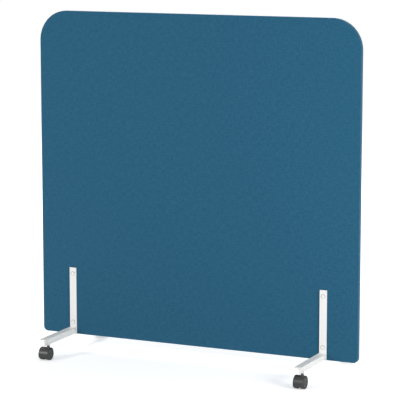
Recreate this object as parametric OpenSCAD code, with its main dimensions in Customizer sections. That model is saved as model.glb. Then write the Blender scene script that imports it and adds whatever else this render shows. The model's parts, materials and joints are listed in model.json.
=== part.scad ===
// Rolling partition: a fabric-covered panel carried by four bolted T-section feet,
// each on a hooded twin-wheel castor. Millimetres. X runs along the panel, the front
// faces -Y, Z is up, and the origin lies on the floor under the middle of the panel.

/* [Panel] */
// Width of the covered panel
panel_w = 1400; // [1000:10:1800]
// Height of the covered panel from its bottom edge to its top edge
panel_h = 1340; // [900:10:1700]
// Radius of the two top corners
top_corner_r = 122; // [60:1:200]
// Radius of the two bottom corners
bottom_corner_r = 19; // [8:1:40]
// Rounding where the covered faces turn into the edges
edge_r = 3; // [2:0.5:5]
// Thickness of the timber frame and the infill board
core_t = 16; // [12:1:30]
// Thickness of the foam wadding on each face
wadding_t = 2.2; // [1:0.1:6]
// Thickness of the cover fabric
fabric_t = 0.8; // [0.5:0.1:1.5]

/* [Timber frame] */
// Width of the stiles, the top rail and the curved corner pieces
rail_w = 45; // [30:1:55]
// Height of the bottom rail, which takes the lower bolts
bottom_rail_h = 75; // [70:1:110]
// Straight length of a corner piece past its bend
corner_leg = 30; // [10:1:80]
// Width of the battens that take the upper bolts
batten_w = 90; // [50:5:140]
// Height of the battens past the top of the uprights
batten_over = 20; // [5:1:60]

/* [Feet] */
// Distance of each foot from the side edge of the panel
foot_inset = 144; // [100:1:350]
// Width of the flat upright bar
bar_w = 30; // [24:1:50]
// Thickness of the flat upright bar
bar_t = 5; // [4:0.5:8]
// Height of the flat upright bar
bar_h = 280; // [200:5:400]
// Width of the T-section's flange
flange_w = 29; // [22:1:40]
// Thickness of the T-section's flange and web
tee_t = 4; // [3:0.5:5]
// Height of the T-section
tee_h = 31; // [27:1:38]
// Radius in the T-section's inner corners
tee_root_r = 3; // [1:0.5:4]
// Rounding of the T-section's toes and of the bar's edges
steel_edge_r = 0.8; // [0.3:0.1:1.5]
// Reach of the flange from the face of the panel
arm_reach = 265; // [240:1:340]
// Length that the web is cut back from the end of the flange
web_cutback = 16; // [0:1:20]
// Drop of the web below the bottom edge of the panel
web_drop = 2; // [0:0.5:10]
// Distance of the castor's stem from the end of the flange
stem_inset = 48; // [44:1:140]
// Outer diameter of the threaded socket under the arm
socket_d = 18; // [16:0.5:20]

/* [Bolts] */
// Distance of the upper bolt below the top of the upright
bolt_top = 25; // [15:1:60]
// Height of the lower bolt above the bottom of the upright
bolt_bottom = 51; // [46:1:60]
// Diameter of the low domed heads
head_d = 17; // [14:0.5:20]
// Height of the low domed heads
head_h = 4; // [2:0.1:5]
// Outer diameter of the sleeve nut's barrel
sleeve_d = 8; // [7.6:0.1:9]
// Diameter of the bolt's thread
thread_d = 6; // [5:0.5:6]
// Width across the flats of the hexagon sockets in the heads
hex_af = 3; // [2.5:0.5:5]

/* [Castors] */
// Height of the castor from the floor to its seat under the socket
castor_h = 58; // [57:0.5:70]
// Diameter of the wheels
wheel_d = 50; // [46:1:52]
// Width of one wheel
wheel_w = 17; // [15:1:22]
// Distance between the two wheels
wheel_gap = 12; // [11.5:0.5:16]
// Distance of the axle behind the swivel stem
trail = 19; // [18:0.5:21]
// Thickness of the hood over the wheels
hood_t = 1.6; // [1.2:0.1:2.5]
// Width of the hood over both wheels
hood_w = 42; // [38:1:44]
// Angle of the hood's end on the stem side, above the horizontal
hood_from = 28; // [22:1:36]
// Angle of the hood's other end, past the vertical
hood_to = 212; // [180:1:215]
// Diameter of the axle
axle_d = 6; // [5:0.5:7]
// Diameter of the swivel pin below the collar
pin_d = 8; // [7:0.5:8]
// Diameter of the stem's threaded shank
shank_d = 10; // [8:0.5:11]
// Length of the threaded shank
shank_l = 20; // [14:1:23]
// Thickness of the stem's hexagon collar
collar_t = 2; // [1.5:0.5:3]

/* [Hidden] */
$fn = 64;
CORNERS = [
    ["front_left", -1, -1],
    ["front_right", 1, -1],
    ["rear_left", -1, 1],
    ["rear_right", 1, 1]
];
SIDES = [["left", -1], ["right", 1]];
WHEELS = [["inner", -1], ["outer", 1]];

// Clearances
fit_gap = 0.3;       // between boards, and between the frame and the cover's wrapped edge
run_gap = 0.06;      // radial play of the swivel pin and of the wheels on the axle
press_gap = 0.02;    // radial play of what is pressed, screwed or welded in
side_gap = 0.5;      // between a wheel and the centre web
tread_gap = 0.8;     // between a wheel and the hood
swivel_gap = 0.4;    // between the collar and the top of the neck
hole_gap = 0.3;      // radial play of the sleeve nuts in their holes

// Panel build-up, from the middle of the panel outwards
half_core = core_t / 2;
half_panel = half_core + wadding_t + fabric_t;
core_inset = fabric_t + fit_gap;

// Heights above the floor
panel_z = castor_h + web_drop;
flange_z = castor_h + tee_h;
rail_z = panel_z + core_inset;
batten_z = rail_z + bottom_rail_h;
batten_top = panel_z + bar_h + batten_over;
panel_top = panel_z + panel_h;
core_top = panel_top - core_inset;
bolt_zs = [panel_z + bolt_bottom, panel_z + bar_h - bolt_top];

// Feet
foot_x = panel_w / 2 - foot_inset;
bar_face = half_panel + bar_t;
arm_end = half_panel + arm_reach;
stem_y = arm_end - stem_inset;
hole_d = sleeve_d + 2 * hole_gap;
sleeve_l = 2 * bar_face - 6;
bolt_l = sleeve_l - 8;

// Castor, about its axle
wheel_r = wheel_d / 2;
hood_ri = wheel_r + tread_gap;
hood_ro = hood_ri + hood_t;
web_w = wheel_gap - 2 * side_gap;
neck_d = pin_d + 7;
neck_tip_d = pin_d + 2.4;
neck_taper = 9;
neck_top = castor_h - collar_t - swivel_gap - wheel_r;
neck_foot = 7;
rivet_h = 1.5;
rivet_gap = 0.2;
rivet_d = pin_d + 1.6;
axle_boss_r = axle_d / 2 + 4.5;
hub_r = axle_d / 2 + 4;
axle_end = wheel_gap / 2 + wheel_w - 3.5;

// Points along an arc of radius r about c, in n steps, or c alone where no radius is left
function arc(c, r, from, to, n = 12) = r <= 0 ? [c] :
    [for (i = [0:n]) let (a = from + (to - from) * i / n) c + r * [cos(a), sin(a)]];

// Turns a profile so that its own X runs along Y, its Y up, and its height along X
module side_on() {
    rotate([90, 0, 90]) children();
}

// Turns a profile drawn in X and Z upright and gives it a depth from y0 to y1
module slab(y0, y1) {
    translate([0, y1, 0]) rotate([90, 0, 0]) linear_extrude(y1 - y0) children();
}

// Outline of the panel, drawn in by inset, with its own radius at top and bottom
module panel_outline(inset) {
    w = panel_w / 2 - inset;
    rt = top_corner_r - inset;
    rb = max(bottom_corner_r - inset, 0);
    z0 = panel_z + inset;
    z1 = panel_top - inset;
    polygon(concat(
        arc([-w + rb, z0 + rb], rb, 180, 270, 6),
        arc([w - rb, z0 + rb], rb, 270, 360, 6),
        arc([w - rt, z1 - rt], rt, 0, 90, 24),
        arc([-w + rt, z1 - rt], rt, 90, 180, 24)
    ));
}

// Straight holes through the panel at the feet, for the sleeve nuts
module bolt_holes(d) {
    for (s = [-1, 1]) for (z = bolt_zs)
        translate([s * foot_x, 0, z]) rotate([90, 0, 0])
            cylinder(d = d, h = 4 * bar_face, center = true);
}

// One rounded corner of the covered panel: a disc with softened rims
module soft_corner(x, z, r, half, soft) {
    translate([x, 0, z]) rotate([90, 0, 0]) rotate_extrude($fn = 64) polygon(concat(
        [[0, -half]],
        arc([r - soft, soft - half], soft, -90, 0, 4),
        arc([r - soft, half - soft], soft, 0, 90, 4),
        [[0, half]]
    ));
}

// The covered panel as one rounded slab, drawn in by inset on every side
module soft_panel(inset) {
    w = panel_w / 2;
    hull() {
        for (s = [-1, 1]) {
            soft_corner(s * (w - top_corner_r), panel_top - top_corner_r,
                top_corner_r - inset, half_panel - inset, edge_r - inset);
            soft_corner(s * (w - bottom_corner_r), panel_z + bottom_corner_r,
                bottom_corner_r - inset, half_panel - inset, edge_r - inset);
        }
    }
}

// One face of the cover, wrapped round the edges to the middle of the panel
module cover(dir) {
    color("steelblue") difference() {
        soft_panel(0);
        soft_panel(fabric_t);
        translate([0, -dir * panel_w, panel_z + panel_h / 2])
            cube([2 * panel_w, 2 * panel_w, 2 * panel_h], center = true);
        bolt_holes(hole_d);
    }
}

// Foam sheet between the frame and one face of the cover
module wadding(dir) {
    y0 = dir < 0 ? -half_core - wadding_t : half_core;
    color("gainsboro") difference() {
        slab(y0, y0 + wadding_t) panel_outline(edge_r);
        bolt_holes(hole_d);
    }
}

// Board that fills the frame, notched round the two battens
module infill_board() {
    inset = core_inset + rail_w + fit_gap;
    notch_w = batten_w + 2 * fit_gap;
    color("tan") slab(-half_core, half_core) difference() {
        panel_outline(inset);
        translate([-panel_w, 0]) square([2 * panel_w, batten_z + fit_gap]);
        for (s = [-1, 1]) translate([s * foot_x - notch_w / 2, 0])
            square([notch_w, batten_top + fit_gap]);
    }
}

// Upper rail between the two curved corner pieces
module top_rail() {
    half = panel_w / 2 - top_corner_r - corner_leg - fit_gap / 2;
    color("burlywood") slab(-half_core, half_core)
        translate([-half, core_top - rail_w]) square([2 * half, rail_w]);
}

// Lower rail, rounded at its ends and drilled for the lower bolts
module bottom_rail() {
    color("burlywood") difference() {
        slab(-half_core, half_core) intersection() {
            panel_outline(core_inset);
            translate([-panel_w, 0]) square([2 * panel_w, batten_z]);
        }
        bolt_holes(hole_d);
    }
}

// Side member of the frame, from the lower rail up to the corner piece
module stile(side) {
    z1 = panel_top - top_corner_r - corner_leg - fit_gap / 2;
    x0 = panel_w / 2 - core_inset - rail_w;
    color("burlywood") mirror([side < 0 ? 1 : 0, 0, 0]) slab(-half_core, half_core)
        translate([x0, batten_z]) square([rail_w, z1 - batten_z]);
}

// Curved member that turns the frame round a top corner
module corner_piece(side) {
    reach = top_corner_r + corner_leg;
    color("burlywood") mirror([side < 0 ? 1 : 0, 0, 0]) slab(-half_core, half_core) intersection() {
        difference() {
            panel_outline(core_inset);
            panel_outline(core_inset + rail_w);
        }
        translate([panel_w / 2 - reach, panel_top - reach]) square(reach);
    }
}

// Upright batten behind the foot bars, drilled for the upper bolts
module foot_batten(side) {
    color("burlywood") difference() {
        slab(-half_core, half_core) translate([side * foot_x - batten_w / 2, batten_z])
            square([batten_w, batten_top - batten_z]);
        bolt_holes(hole_d);
    }
}

// Flat bar against the panel, drilled for two bolts
module upright(c) {
    y0 = c[2] < 0 ? -bar_face : half_panel;
    r = steel_edge_r;
    color("whitesmoke") difference() {
        translate([c[1] * foot_x - bar_w / 2, y0, panel_z]) linear_extrude(bar_h) polygon(concat(
            arc([r, r], r, 180, 270, 3),
            arc([bar_w - r, r], r, 270, 360, 3),
            arc([bar_w - r, bar_t - r], r, 0, 90, 3),
            arc([r, bar_t - r], r, 90, 180, 3)
        ));
        bolt_holes(hole_d);
    }
}

// Rolled T-section with its flange uppermost, drawn about the middle of its web
module tee_section() {
    z = tee_h - tee_t;
    r = steel_edge_r;
    half = concat(
        [[tee_t / 2, 0]],
        arc([tee_t / 2 + tee_root_r, z - tee_root_r], tee_root_r, 180, 90, 4),
        arc([flange_w / 2 - r, z + r], r, -90, 0, 3),
        arc([flange_w / 2 - r, tee_h - r], r, 0, 90, 3)
    );
    polygon(concat(half, [for (i = [len(half) - 1:-1:0]) [-half[i][0], half[i][1]]]));
}

// Arm welded square to the foot of its bar, its web cut back and let round the socket
module arm(c) {
    color("whitesmoke") mirror([0, c[2] > 0 ? 1 : 0, 0]) translate([c[1] * foot_x, 0, castor_h])
    difference() {
        slab(-arm_end, -bar_face) tee_section();
        translate([-flange_w, -arm_end - 1, -1])
            cube([2 * flange_w, web_cutback + 1, tee_h - tee_t + 1]);
        translate([0, -stem_y, -1]) cylinder(d = socket_d + 2 * press_gap, h = tee_h - tee_t + 1);
    }
}

// Round socket welded under the flange, bored for the castor's shank
module socket(c) {
    h = tee_h - tee_t;
    color("whitesmoke") translate([c[1] * foot_x, c[2] * stem_y, castor_h]) difference() {
        cylinder(d = socket_d, h = h);
        translate([0, 0, -1]) cylinder(d = shank_d + 2 * press_gap, h = shank_l + 2);
    }
}

// Low domed head with a hexagon socket, its seat at the origin and its crown along +Z
module domed_head() {
    rim = head_h * 0.3;
    rise = head_h - rim;
    r = (pow(head_d / 2, 2) + rise * rise) / (2 * rise);
    a = asin(head_d / 2 / r);
    difference() {
        rotate_extrude() polygon(concat(
            [[0, 0], [head_d / 2, 0]],
            arc([0, head_h - r], r, 90 - a, 90, 8)
        ));
        translate([0, 0, head_h * 0.6]) cylinder(d = hex_af / cos(30), h = head_h, $fn = 6);
    }
}

// Puts a fastener on each bolt line of one side, its head on the bar at y = dir * bar_face
module on_bolt_lines(side, dir) {
    for (z = bolt_zs) translate([side * foot_x, dir * bar_face, z]) rotate([-dir * 90, 0, 0])
        children();
}

// Connecting bolts, pushed in from the front
module bolts(side) {
    color("white") on_bolt_lines(side, -1) {
        domed_head();
        translate([0, 0, -bolt_l]) cylinder(d = thread_d, h = bolt_l + head_h / 4);
    }
}

// Sleeve nuts, pushed in from the rear to meet the bolts
module sleeve_nuts(side) {
    color("white") on_bolt_lines(side, 1) {
        domed_head();
        translate([0, 0, -sleeve_l]) difference() {
            cylinder(d = sleeve_d, h = sleeve_l + head_h / 4);
            translate([0, 0, -1]) cylinder(d = thread_d + 2 * run_gap, h = sleeve_l - 1);
        }
    }
}

// Puts a castor's piece under its arm, with the wheels trailing away from the panel
module at_castor(c) {
    translate([c[1] * foot_x, c[2] * stem_y, 0]) mirror([0, c[2] > 0 ? 1 : 0, 0]) children();
}

// Puts a piece drawn about the axle at the height and trail of the axle
module at_axle() {
    translate([0, -trail, wheel_r]) children();
}

// Stem: threaded shank, hexagon collar and swivel pin, riveted over below the neck
module castor_stem(c) {
    pin_foot = wheel_r + neck_foot - rivet_gap;
    color("silver") at_castor(c) {
        translate([0, 0, castor_h]) cylinder(d = shank_d, h = shank_l);
        translate([0, 0, castor_h - collar_t]) cylinder(d = socket_d - 2, h = collar_t, $fn = 6);
        translate([0, 0, pin_foot - rivet_h]) cylinder(d = pin_d, h = castor_h - pin_foot);
        translate([0, 0, pin_foot - rivet_h]) cylinder(d1 = pin_d, d2 = rivet_d, h = rivet_h);
    }
}

// Side view of the housing's centre web: a sector under the hood, cut clear of the stem's
// rivet, and the axle boss
module web_profile() {
    r = hood_ri + hood_t / 2;
    clear_r = rivet_d / 2 + side_gap;
    difference() {
        polygon(concat([[0, 0]], arc([0, 0], r, hood_from, hood_to, 40)));
        translate([trail - clear_r, 0]) square([2 * clear_r, neck_foot]);
    }
    circle(axle_boss_r);
}

// Shallow pockets that leave ribs standing on each side of the centre web
module web_pockets() {
    rib_t = 1.6;
    difference() {
        polygon(concat(
            arc([0, 0], hood_ri - 1.4, hood_from + 45, hood_to - 6, 30),
            arc([0, 0], axle_boss_r + 0.6, hood_to - 12, hood_from + 45, 12)
        ));
        for (a = [hood_from + 72:28:hood_to - 10])
            rotate(a) translate([0, -rib_t / 2]) square([hood_ri, rib_t]);
    }
}

// Hood's cross-section: a thin band over both wheels with rounded rims
module hood_profile() {
    r = min(hood_t * 0.7, 1.2);
    polygon(concat(
        [[hood_ri, -hood_w / 2], [hood_ri, hood_w / 2]],
        arc([hood_ro - r, hood_w / 2 - r], r, 90, 0, 4),
        arc([hood_ro - r, r - hood_w / 2], r, 0, -90, 4)
    ));
}

// Moulded housing: hood, centre web with the axle boss, and neck bored for the swivel pin
module castor_housing(c) {
    pocket_d = web_w * 0.28;
    color("dimgray") at_castor(c) at_axle() difference() {
        union() {
            side_on() linear_extrude(web_w, center = true) web_profile();
            side_on() rotate(hood_from) rotate_extrude(angle = hood_to - hood_from, $fn = 96)
                hood_profile();
            translate([0, trail, neck_foot])
                cylinder(d = neck_d, h = neck_top - neck_foot - neck_taper);
            translate([0, trail, neck_top - neck_taper])
                cylinder(d1 = neck_d, d2 = neck_tip_d, h = neck_taper);
        }
        for (s = [-1, 1]) {
            side_on() translate([0, 0, s > 0 ? web_w / 2 : -web_w / 2 - wheel_w])
                cylinder(r = wheel_r + tread_gap / 2, h = wheel_w);
            side_on() translate([0, 0, s * (web_w / 2 - pocket_d / 2 + 0.5)])
                linear_extrude(pocket_d + 1, center = true) web_pockets();
        }
        translate([0, trail, 0]) cylinder(d = pin_d + 2 * run_gap, h = neck_top + 1);
        side_on() cylinder(d = axle_d + 2 * press_gap, h = wheel_gap, center = true);
    }
}

// Steel axle, pressed through the housing's boss
module castor_axle(c) {
    color("silver") at_castor(c) at_axle() side_on()
        cylinder(d = axle_d, h = 2 * axle_end, center = true);
}

// Half section of a wheel: radius against distance from its inner face
module wheel_section() {
    shoulder_r = 4;
    inner_r = 1.2;
    rim_t = 3.6;
    disc_w = wheel_w - 1.2;
    disc_t = 3.2;
    polygon(concat(
        [[0, 0.2], [hub_r, 0.2], [hub_r + 0.4, disc_w - disc_t]],
        [[wheel_r - rim_t - 0.6, disc_w - disc_t], [wheel_r - rim_t, 0]],
        arc([wheel_r - inner_r, inner_r], inner_r, -90, 0, 4),
        arc([wheel_r - shoulder_r, wheel_w - shoulder_r], shoulder_r, 0, 90, 8),
        [[wheel_r - shoulder_r - 1.6, wheel_w], [wheel_r - shoulder_r - 2.6, disc_w]],
        [[hub_r + 1.8, disc_w], [hub_r + 1, disc_w - 0.8], [hub_r, disc_w - 0.8]],
        [[hub_r - 0.6, disc_w + 0.3], [hub_r * 0.5, disc_w + 0.7], [0, disc_w + 0.8]]
    ));
}

// Moulded wheel: crowned tread, dished disc, hub with a blind bore and ribs on the inside
module wheel(c, side) {
    rib_t = 1.6;
    rib_l = wheel_r - 2;
    color("dimgray") at_castor(c) at_axle() mirror([side < 0 ? 1 : 0, 0, 0])
    translate([wheel_gap / 2, 0, 0]) side_on() difference() {
        union() {
            rotate_extrude($fn = 96) wheel_section();
            for (a = [0:60:300]) rotate(a) translate([hub_r - 1, -rib_t / 2, wheel_w * 0.3])
                cube([rib_l - hub_r, rib_t, wheel_w * 0.46]);
        }
        translate([0, 0, -1]) cylinder(d = axle_d + 2 * run_gap, h = wheel_w - 2);
    }
}

cover(-1);  // cover_front
cover(1);  // cover_rear
wadding(-1);  // wadding_front
wadding(1);  // wadding_rear
infill_board();
top_rail();
bottom_rail();
for (s = SIDES) {
    stile(s[1]);
    corner_piece(s[1]);
    foot_batten(s[1]);
    bolts(s[1]);
    sleeve_nuts(s[1]);
}
for (c = CORNERS) {
    upright(c);
    arm(c);
    socket(c);
    castor_stem(c);
    castor_housing(c);
    castor_axle(c);
    for (w = WHEELS) wheel(c, w[1] * c[1]);
}
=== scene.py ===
import json
import math

import bmesh
import bpy
from mathutils import Matrix, Vector

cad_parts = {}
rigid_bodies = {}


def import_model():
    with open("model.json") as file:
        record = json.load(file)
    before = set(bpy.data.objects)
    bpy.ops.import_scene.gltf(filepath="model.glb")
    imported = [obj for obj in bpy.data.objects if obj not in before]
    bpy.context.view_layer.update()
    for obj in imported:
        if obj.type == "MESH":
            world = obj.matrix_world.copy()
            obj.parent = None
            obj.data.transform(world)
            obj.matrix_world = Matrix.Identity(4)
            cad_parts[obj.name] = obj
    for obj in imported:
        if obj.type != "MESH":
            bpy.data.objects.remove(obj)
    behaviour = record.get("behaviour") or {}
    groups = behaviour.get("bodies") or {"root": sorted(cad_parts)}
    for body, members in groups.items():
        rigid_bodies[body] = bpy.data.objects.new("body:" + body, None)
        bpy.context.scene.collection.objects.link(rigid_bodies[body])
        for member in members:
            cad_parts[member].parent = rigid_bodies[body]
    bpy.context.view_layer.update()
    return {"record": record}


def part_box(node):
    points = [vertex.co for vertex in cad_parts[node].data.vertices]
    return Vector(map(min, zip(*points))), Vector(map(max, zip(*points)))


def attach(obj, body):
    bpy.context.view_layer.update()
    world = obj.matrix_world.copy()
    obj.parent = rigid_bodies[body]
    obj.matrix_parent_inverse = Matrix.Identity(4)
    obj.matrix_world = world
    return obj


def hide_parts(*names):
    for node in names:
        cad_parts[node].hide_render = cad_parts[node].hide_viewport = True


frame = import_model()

MM = 0.001
# sockets of a Mix node that mixes colours, which share their names and so go by number
SHARE, COLOUR_A, COLOUR_B, MIXED = 0, 6, 7, 2


# Materials ------------------------------------------------------------------

def linear(hex_code):
    """An sRGB hex colour as the linear RGBA that shaders take."""
    channels = [int(hex_code[i:i + 2], 16) / 255 for i in (1, 3, 5)]
    return [c / 12.92 if c <= 0.04045 else ((c + 0.055) / 1.055) ** 2.4 for c in channels] + [1]


def add(tree, kind, inputs=None, out=0, **settings):
    """Adds a node and gives back one of its outputs. An output among the inputs is linked,
    and any other value is set on its socket."""
    node = tree.nodes.new("ShaderNode" + kind)
    for name, value in settings.items():
        setattr(node, name, value)
    for name, value in (inputs or {}).items():
        if isinstance(value, bpy.types.NodeSocket):
            tree.links.new(value, node.inputs[name])
        else:
            node.inputs[name].default_value = value
    return node.outputs[out] if len(node.outputs) else node


def blank_material(name):
    """An empty material, its node tree and the piece's own coordinates in metres."""
    material = bpy.data.materials.new(name)
    material.use_nodes = True
    material.node_tree.nodes.clear()
    return material, material.node_tree, add(material.node_tree, "TexCoord", out="Object")


def woven_polyester():
    """Cover fabric: polyester dyed in the yarn, woven plain, stretched and stapled. It is
    matt, faintly crossed by thicker yarns, and its fibre ends catch light along the edges."""
    material, tree, place = blank_material("woven_polyester")
    x, y, z = [add(tree, "SeparateXYZ", {0: place}, axis) for axis in "XYZ"]
    # the cloth runs on round the panel's edges, so both directions count in the depth
    across = add(tree, "Math", {0: x, 1: y}, operation="ADD")
    upward = add(tree, "Math", {0: z, 1: y}, operation="ADD")
    cloth = add(tree, "CombineXYZ", {0: across, 1: upward})
    # real yarns lie 0.6 mm apart, too fine to show, so the weave is drawn 1.6 mm apart
    yarn_spacing = 1.6 * MM
    yarns = []
    for direction in (across, upward):
        turns = add(tree, "Math", {0: direction, 1: math.pi / yarn_spacing}, operation="MULTIPLY")
        yarns.append(add(tree, "Math", {0: turns}, operation="SINE"))
    weave = add(tree, "Math", {0: yarns[0], 1: yarns[1]}, operation="MULTIPLY")
    # thicker stretches of yarn, really 1 mm wide and 4 mm long, are drawn five times coarser
    slubs = []
    for size in ((20, 5, 1), (5, 20, 1)):
        drawn = add(tree, "Mapping", {"Vector": cloth, "Scale": [1 / (s * MM) for s in size]})
        slubs.append(add(tree, "TexNoise", {"Vector": drawn, "Scale": 1.0, "Detail": 1.0}, "Fac"))
    slub = add(tree, "Math", {0: slubs[0], 1: slubs[1]}, operation="ADD")
    weave_share = 0.06
    shade = add(tree, "Math", {0: weave, 1: weave_share, 2: slub}, operation="MULTIPLY_ADD")
    share = add(tree, "MapRange", {"Value": shade, "From Min": 0.7, "From Max": 1.3})
    yarn = add(tree, "Mix", {SHARE: share, COLOUR_A: linear("#1B5470"),
                             COLOUR_B: linear("#275E7A")}, MIXED, data_type="RGBA")
    relief = add(tree, "Math", {0: weave, 1: 0.5, 2: 0.5}, operation="MULTIPLY_ADD")
    bump = add(tree, "Bump", {"Height": relief, "Distance": 0.1 * MM, "Strength": 0.5})
    shader = add(tree, "BsdfPrincipled", {
        "Base Color": yarn, "Normal": bump, "Roughness": 0.9, "Specular IOR Level": 0.15,
        "Sheen Weight": 0.6, "Sheen Roughness": 0.45, "Sheen Tint": linear("#C4E0FF")})
    add(tree, "OutputMaterial", {"Surface": shader})
    return material


def powder_coat():
    """Feet: steel with a baked white powder coat, satin and smooth but for a faint
    orange-peel ripple 2 mm across."""
    material, tree, place = blank_material("white_powder_coat")
    cloud = add(tree, "TexNoise", {"Vector": place, "Scale": 1 / (60 * MM), "Detail": 2.0}, "Fac")
    paint = add(tree, "Mix", {SHARE: cloud, COLOUR_A: linear("#ECECE9"),
                              COLOUR_B: linear("#F3F3F0")}, MIXED, data_type="RGBA")
    ripple = add(tree, "TexNoise", {"Vector": place, "Scale": 1 / (2 * MM), "Detail": 1.0}, "Fac")
    bump = add(tree, "Bump", {"Height": ripple, "Distance": 0.03 * MM, "Strength": 0.5})
    shader = add(tree, "BsdfPrincipled", {"Base Color": paint, "Normal": bump, "Roughness": 0.4})
    add(tree, "OutputMaterial", {"Surface": shader})
    return material


def lacquered_steel():
    """Connecting bolts: pressed steel heads with a white lacquer, smoother than the feet. A grey
    ring of painted shade lies round their rims, darkest on the upper side."""
    material, tree, place = blank_material("white_lacquered_steel")
    cloud = add(tree, "TexNoise", {"Vector": place, "Scale": 1 / (3 * MM), "Detail": 2.0}, "Fac")
    paint = add(tree, "Mix", {SHARE: cloud, COLOUR_A: linear("#F0F0EE"),
                              COLOUR_B: linear("#F6F6F4")}, MIXED, data_type="RGBA")
    # the heads stand 556 mm out on both sides, and 102 mm above and below a height of 213 mm
    offsets = []
    for axis, middle, apart in (("X", 0, 556 * MM), ("Z", 213 * MM, 102 * MM)):
        along = add(tree, "SeparateXYZ", {0: place}, axis)
        from_middle = add(tree, "Math", {0: along, 1: middle}, operation="SUBTRACT")
        distance = add(tree, "Math", {0: from_middle}, operation="ABSOLUTE")
        offsets.append(add(tree, "Math", {0: distance, 1: apart}, operation="SUBTRACT"))
    from_centre = add(tree, "CombineXYZ", {0: offsets[0], 1: offsets[1]})
    radius = add(tree, "VectorMath", {0: from_centre}, "Value", operation="LENGTH")
    # the ring of painted shade sets in over the outer millimetres of each head, which is 17 mm
    # across
    rim = add(tree, "MapRange", {"Value": radius, "From Min": 6.2 * MM, "From Max": 7.5 * MM})
    # painted shade: the upper side of each rim is painted darker, as if less light fell on it from
    # above
    upward = add(tree, "SeparateXYZ", {0: add(tree, "TexCoord", out="Normal")}, "Z")
    upper_side_shade = add(tree, "MapRange", {
        "Value": upward, "From Min": -0.3, "From Max": 0.3, "To Min": 0.35, "To Max": 1.0})
    painted_rim_shade = add(tree, "Math", {0: rim, 1: upper_side_shade}, operation="MULTIPLY")
    # the lacquer with the grey ring of painted shade mixed in
    lacquer_with_painted_shade = add(tree, "Mix", {SHARE: painted_rim_shade, COLOUR_A: paint,
                             COLOUR_B: linear("#939696")}, MIXED, data_type="RGBA")
    grain = add(tree, "TexNoise", {"Vector": place, "Scale": 1 / (0.6 * MM), "Detail": 2.0}, "Fac")
    bump = add(tree, "Bump", {"Height": grain, "Distance": 0.01 * MM, "Strength": 0.4})
    shader = add(tree, "BsdfPrincipled", {"Base Color": lacquer_with_painted_shade, "Normal": bump, "Roughness": 0.28})
    add(tree, "OutputMaterial", {"Surface": shader})
    return material


def zinc_plate():
    """Castor stems and axles: turned steel under bright zinc, with turning marks that run
    round the stem 0.3 mm apart, drawn 0.6 mm apart to show."""
    material, tree, place = blank_material("zinc_plated_steel")
    drawn = add(tree, "Mapping", {
        "Vector": place, "Scale": [1 / (20 * MM), 1 / (20 * MM), 1 / (0.6 * MM)]})
    marks = add(tree, "TexNoise", {"Vector": drawn, "Scale": 1.0, "Detail": 2.0}, "Fac")
    zinc = add(tree, "Mix", {SHARE: marks, COLOUR_A: linear("#A4A7A9"),
                             COLOUR_B: linear("#C8CACB")}, MIXED, data_type="RGBA")
    gloss = add(tree, "MapRange", {"Value": marks, "To Min": 0.25, "To Max": 0.42})
    bump = add(tree, "Bump", {"Height": marks, "Distance": 0.01 * MM, "Strength": 0.5})
    shader = add(tree, "BsdfPrincipled", {
        "Base Color": zinc, "Normal": bump, "Roughness": gloss, "Metallic": 1.0})
    add(tree, "OutputMaterial", {"Surface": shader})
    return material


def moulded_nylon(name, dull):
    """Castors: black-dyed nylon, injection-moulded in a spark-eroded tool. Satin, with faint
    clouds where the melt flowed and a grain 0.4 mm across. dull is its mean roughness."""
    material, tree, place = blank_material(name)
    cloud = add(tree, "TexNoise", {"Vector": place, "Scale": 1 / (9 * MM), "Detail": 3.0}, "Fac")
    tint = add(tree, "Mix", {SHARE: cloud, COLOUR_A: linear("#202121"),
                             COLOUR_B: linear("#2C2D2D")}, MIXED, data_type="RGBA")
    gloss = add(tree, "MapRange", {"Value": cloud, "To Min": dull - 0.12, "To Max": dull + 0.12})
    grain = add(tree, "TexNoise", {"Vector": place, "Scale": 1 / (0.4 * MM), "Detail": 1.0}, "Fac")
    bump = add(tree, "Bump", {"Height": grain, "Distance": 0.02 * MM, "Strength": 0.6})
    shader = add(tree, "BsdfPrincipled", {
        "Base Color": tint, "Normal": bump, "Roughness": gloss, "IOR": 1.53})
    add(tree, "OutputMaterial", {"Surface": shader})
    return material


def foam():
    """Wadding behind the cover: open-cell foam with cells about 1 mm across."""
    material, tree, place = blank_material("open_cell_foam")
    cells = add(tree, "TexVoronoi", {"Vector": place, "Scale": 1 / MM}, "Distance")
    tint = add(tree, "Mix", {SHARE: cells, COLOUR_A: linear("#B4B4AF"),
                             COLOUR_B: linear("#E4E4DF")}, MIXED, data_type="RGBA")
    bump = add(tree, "Bump", {"Height": cells, "Distance": 0.3 * MM})
    shader = add(tree, "BsdfPrincipled", {"Base Color": tint, "Normal": bump, "Roughness": 1.0})
    add(tree, "OutputMaterial", {"Surface": shader})
    return material


def grained(name, size, dark, light, dull):
    """Boards behind the cover. Softboard shows matted fibres a millimetre thick, and planed
    spruce its growth rings 3 mm apart, both drawn out along the grain. size is that of one
    streak in millimetres."""
    material, tree, place = blank_material(name)
    drawn = add(tree, "Mapping", {"Vector": place, "Scale": [1 / (s * MM) for s in size]})
    grain = add(tree, "TexNoise", {"Vector": drawn, "Scale": 1.0, "Detail": 3.0}, "Fac")
    tint = add(tree, "Mix", {SHARE: grain, COLOUR_A: linear(dark),
                             COLOUR_B: linear(light)}, MIXED, data_type="RGBA")
    bump = add(tree, "Bump", {"Height": grain, "Distance": 0.1 * MM, "Strength": 0.5})
    shader = add(tree, "BsdfPrincipled", {"Base Color": tint, "Normal": bump, "Roughness": dull})
    add(tree, "OutputMaterial", {"Surface": shader})
    return material


SPRUCE = {"dark": "#B98F5C", "light": "#E3C898", "dull": 0.7}
COVER_CLOTH = woven_polyester()
COATED_STEEL = powder_coat()
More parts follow.
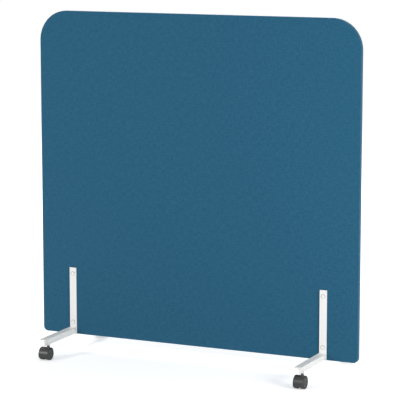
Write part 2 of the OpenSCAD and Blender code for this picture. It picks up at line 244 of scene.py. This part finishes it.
# the finish of each CAD node, found by how the node's name starts
FINISHES = {
    ("wadding",): foam(),
    ("infill_board",): grained("soft_fibreboard", (8, 1, 3), "#8B6F4B", "#C9AE84", 0.95),
    ("top_rail", "bottom_rail"): grained("planed_spruce_level", (120, 3, 3), **SPRUCE),
    ("stile", "corner_piece", "foot_batten"):
        grained("planed_spruce_upright", (3, 3, 120), **SPRUCE),
    ("bolts", "sleeve_nuts"): lacquered_steel(),
    ("upright", "arm", "socket"): COATED_STEEL,
    ("castor_stem", "castor_axle"): zinc_plate(),
    ("castor_housing",): moulded_nylon("moulded_nylon_hood", 0.4),
    ("wheel",): moulded_nylon("moulded_nylon_wheel", 0.5),
}
for row in frame["record"]["subparts"]:
    for starts, finish in FINISHES.items():
        if row["node"].startswith(starts):
            node_object = bpy.data.objects[row["node"]]
            node_object.data.materials.clear()
            node_object.data.materials.append(finish)


# Pieces ---------------------------------------------------------------------

def finished_piece(name, bm, finish):
    """Makes an object of a shaped bmesh, at the origin and in its material."""
    mesh = bpy.data.meshes.new(name)
    bm.to_mesh(mesh)
    bm.free()
    mesh.materials.append(finish)
    piece = bpy.data.objects.new(name, mesh)
    bpy.context.scene.collection.objects.link(piece)
    return piece


# Cover ----------------------------------------------------------------------

def stretched_cover(name, node, side):
    """One face of the cover, stretched flat, turned over the panel's edges and tucked into
    the seam that runs round the middle of the edge. side is -1 in front and 1 behind."""
    low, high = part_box(node)
    width, height, middle = high.x - low.x, high.z - low.z, (low.z + high.z) / 2
    face_y = low.y if side < 0 else high.y
    top_radius, bottom_radius, edge_radius = 122 * MM, 19 * MM, 3 * MM
    seam_gap, tuck, fold_radius, thickness = 0.3 * MM, 2 * MM, 0.8 * MM, 0.8 * MM
    bm = bmesh.new()
    bmesh.ops.create_grid(bm, x_segments=1, y_segments=1, size=0.5)
    for v in bm.verts:
        v.co = Vector((v.co.x * width, face_y, middle + v.co.y * height))
    for radius, steps, is_top in ((top_radius, 32, True), (bottom_radius, 10, False)):
        corners = [v for v in bm.verts
                   if (v.co.z > middle) == is_top and abs(v.co.x) > width / 2 - MM]
        bmesh.ops.bevel(bm, geom=corners, offset=radius, segments=steps, profile=0.5,
                        affect="VERTICES", material=-1)
    # a loop just inside the rounded edge keeps the face's shading flat
    bmesh.ops.inset_region(bm, faces=bm.faces[:], thickness=edge_radius + 1 * MM)
    rim = [e for e in bm.edges if e.is_boundary]
    wall = bmesh.ops.extrude_edge_only(bm, edges=rim)["geom"]
    bmesh.ops.translate(bm, verts=[g for g in wall if isinstance(g, bmesh.types.BMVert)],
                        vec=(0, side * seam_gap - face_y, 0))
    seam = [e for e in bm.edges if e.is_boundary]
    lip = bmesh.ops.extrude_edge_only(bm, edges=seam)["geom"]
    for v in (g for g in lip if isinstance(g, bmesh.types.BMVert)):
        v.co.x *= 1 - tuck / (width / 2)
        v.co.z = middle + (v.co.z - middle) * (1 - tuck / (height / 2))
    for edges, offset, steps in ((rim, edge_radius, 6), (seam, fold_radius, 3)):
        bmesh.ops.bevel(bm, geom=edges, offset=offset, segments=steps, profile=0.5,
                        affect="EDGES", material=-1)
    bmesh.ops.recalc_face_normals(bm, faces=bm.faces)
    # an open sheet has no outside, so its largest face says which way it looks
    if max(bm.faces, key=lambda face: face.calc_area()).normal.y * side < 0:
        bmesh.ops.reverse_faces(bm, faces=bm.faces)
    for face in bm.faces:
        face.smooth = True
    cover = finished_piece(name, bm, COVER_CLOTH)
    cloth = cover.modifiers.new("cloth", "SOLIDIFY")
    cloth.thickness = thickness
    cloth.offset = -1
    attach(cover, "screen")
    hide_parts(node)


stretched_cover("fabric_front", "cover_front", -1)
stretched_cover("fabric_rear", "cover_rear", 1)


# Welds ----------------------------------------------------------------------

def weld_bead(bm, start, end):
    """A run of weld, laid as drops that stand as ripples under the coat. It tapers over the
    first and last rings."""
    radius, drop_spacing, rings_a_drop = 2.2 * MM, 1.6 * MM, 4
    end_share, ring_share, ripple = 0.55, 0.15, 0.05
    run = Vector(end) - Vector(start)
    rings = round(run.length / drop_spacing) * rings_a_drop
    stand = Matrix.Translation(start) @ run.to_track_quat("Z", "Y").to_matrix().to_4x4()
    bmesh.ops.create_circle(bm, segments=12, radius=radius, cap_ends=True, matrix=stand)
    cap = bm.faces[:][-1]
    for ring in range(1, rings + 1):
        grown = bmesh.ops.extrude_face_region(bm, geom=[cap])["geom"]
        if ring > 1:
            bmesh.ops.delete(bm, geom=[cap], context="FACES_ONLY")
        cap = next(g for g in grown if isinstance(g, bmesh.types.BMFace))
        centre = Vector(start) + run * ring / rings
        taper = min(1, end_share + ring_share * min(ring, rings - ring))
        size = radius * taper * (1 + ripple * math.sin(math.tau * ring / rings_a_drop))
        for v in cap.verts:
            v.co += run / rings
            v.co = centre + (v.co - centre).normalized() * size


def foot_welds(name, column, way):
    """The runs that join one foot: arm to bar, and socket to web. way is -1 in front and 1
    behind."""
    bar_low, bar_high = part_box(column)
    arm_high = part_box(column.replace("upright", "arm"))[1]
    socket_low, socket_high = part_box(column.replace("upright", "socket"))
    middle = (bar_low.x + bar_high.x) / 2
    # the top run stops short of the flange's corners, and the others stand in the web's corners
    half_run, web_side, flange_t = 12.5 * MM, 2.4 * MM, 4 * MM
    above_flange, off_bar, into_socket = 0.3 * MM, 0.4 * MM, 0.2 * MM
    lower_stop, upper_stop = 2 * MM, 1 * MM
    bar_face = (bar_low.y if way < 0 else bar_high.y) + way * off_bar
    top = arm_high.z + above_flange
    bm = bmesh.new()
    weld_bead(bm, (middle - half_run, bar_face, top), (middle + half_run, bar_face, top))
    for x in (middle - web_side, middle + web_side):
        weld_bead(bm, (x, bar_face, bar_low.z + lower_stop),
                  (x, bar_face, arm_high.z - flange_t - upper_stop))
        for edge in (socket_low.y + into_socket, socket_high.y - into_socket):
            weld_bead(bm, (x, edge, socket_low.z + lower_stop),
                      (x, edge, socket_high.z - upper_stop))
    bmesh.ops.recalc_face_normals(bm, faces=bm.faces)
    for face in bm.faces:
        face.smooth = True
    beads = finished_piece(name, bm, COATED_STEEL)
    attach(beads, "screen")


for corner in ("front_left", "front_right", "rear_left", "rear_right"):
    foot_welds("welds_" + corner, "upright_" + corner, -1 if corner.startswith("front") else 1)


# Studio ---------------------------------------------------------------------

def white_to_the_eye(tree):
    """1 for what the camera and reflections see, and 0 for what only gives light."""
    camera_ray, glossy_ray, transmission_ray = [
        add(tree, "LightPath", out=f"Is {kind} Ray")
        for kind in ("Camera", "Glossy", "Transmission")]
    either = add(tree, "Math", {0: camera_ray, 1: glossy_ray}, operation="MAXIMUM")
    return add(tree, "Math", {0: either, 1: transmission_ray}, operation="MAXIMUM")


def studio_floor(half_side):
    """Matt white paper, which keeps soft shadows and otherwise meets the white backdrop.
    half_side is in metres, and takes its edges out of every view."""
    material, tree, place = blank_material("studio_floor")
    paper = add(tree, "BsdfDiffuse", {"Color": linear("#FBFBFB")})
    # past the reach of the lamps the paper glows a little more, so that it stays white
    distance = add(tree, "VectorMath", {0: place}, "Value", operation="LENGTH")
    level = add(tree, "MapRange", {
        "Value": distance, "From Min": 1.2, "From Max": 6.0, "To Min": 0.42, "To Max": 0.6})
    seen = add(tree, "Math", {0: white_to_the_eye(tree), 1: level}, operation="MULTIPLY")
    glow = add(tree, "Emission", {"Strength": seen})
    add(tree, "OutputMaterial", {"Surface": add(tree, "AddShader", {0: paper, 1: glow})})
    bm = bmesh.new()
    bmesh.ops.create_grid(bm, x_segments=1, y_segments=1, size=half_side)
    finished_piece("floor", bm, material)


def studio_world(light):
    """White backdrop that lights the object evenly from all round."""
    world = bpy.data.worlds.new("studio")
    bpy.context.scene.world = world
    world.use_nodes = True
    tree = world.node_tree
    tree.nodes.clear()
    strength = add(tree, "MapRange", {
        "Value": white_to_the_eye(tree), "To Min": light, "To Max": 1.0})
    add(tree, "OutputWorld", {"Surface": add(tree, "Background", {
        "Color": linear("#FFFFFF"), "Strength": strength})})


def softbox(name, place, aim, size, power):
    """A square lamp behind diffusing cloth, its side in metres and its power in watts."""
    lamp = bpy.data.lights.new(name, "AREA")
    lamp.size = size
    lamp.energy = power
    box = bpy.data.objects.new(name, lamp)
    box.location = place
    box.rotation_euler = (Vector(aim) - Vector(place)).to_track_quat("-Z", "Y").to_euler()
    bpy.context.scene.collection.objects.link(box)


studio_floor(half_side=60)
studio_world(light=0.42)
softbox("softbox_right", place=(3.3, -1.3, 1.4), aim=(0.2, 0, 0.3), size=1.2, power=56)
softbox("softbox_left", place=(-4.2, -6.8, 3.1), aim=(-0.4, -0.2, 0.1), size=0.7, power=241)
softbox("softbox_rear", place=(-2.4, 5.2, 4.6), aim=(0, 0, 0.4), size=2.0, power=215)

# Camera, fitted to the panel's edges, the bars and the castors in the photograph
eye = bpy.data.cameras.new("camera")
eye.sensor_width = 36
eye.lens = 173.52
camera = bpy.data.objects.new("camera", eye)
camera.location = (3.2375, -6.9064, 1.8462)
camera.rotation_euler = (math.radians(81.144), 0, math.radians(24.992))
bpy.context.scene.collection.objects.link(camera)
bpy.context.scene.camera = camera
bpy.context.scene.view_settings.view_transform = "Standard"
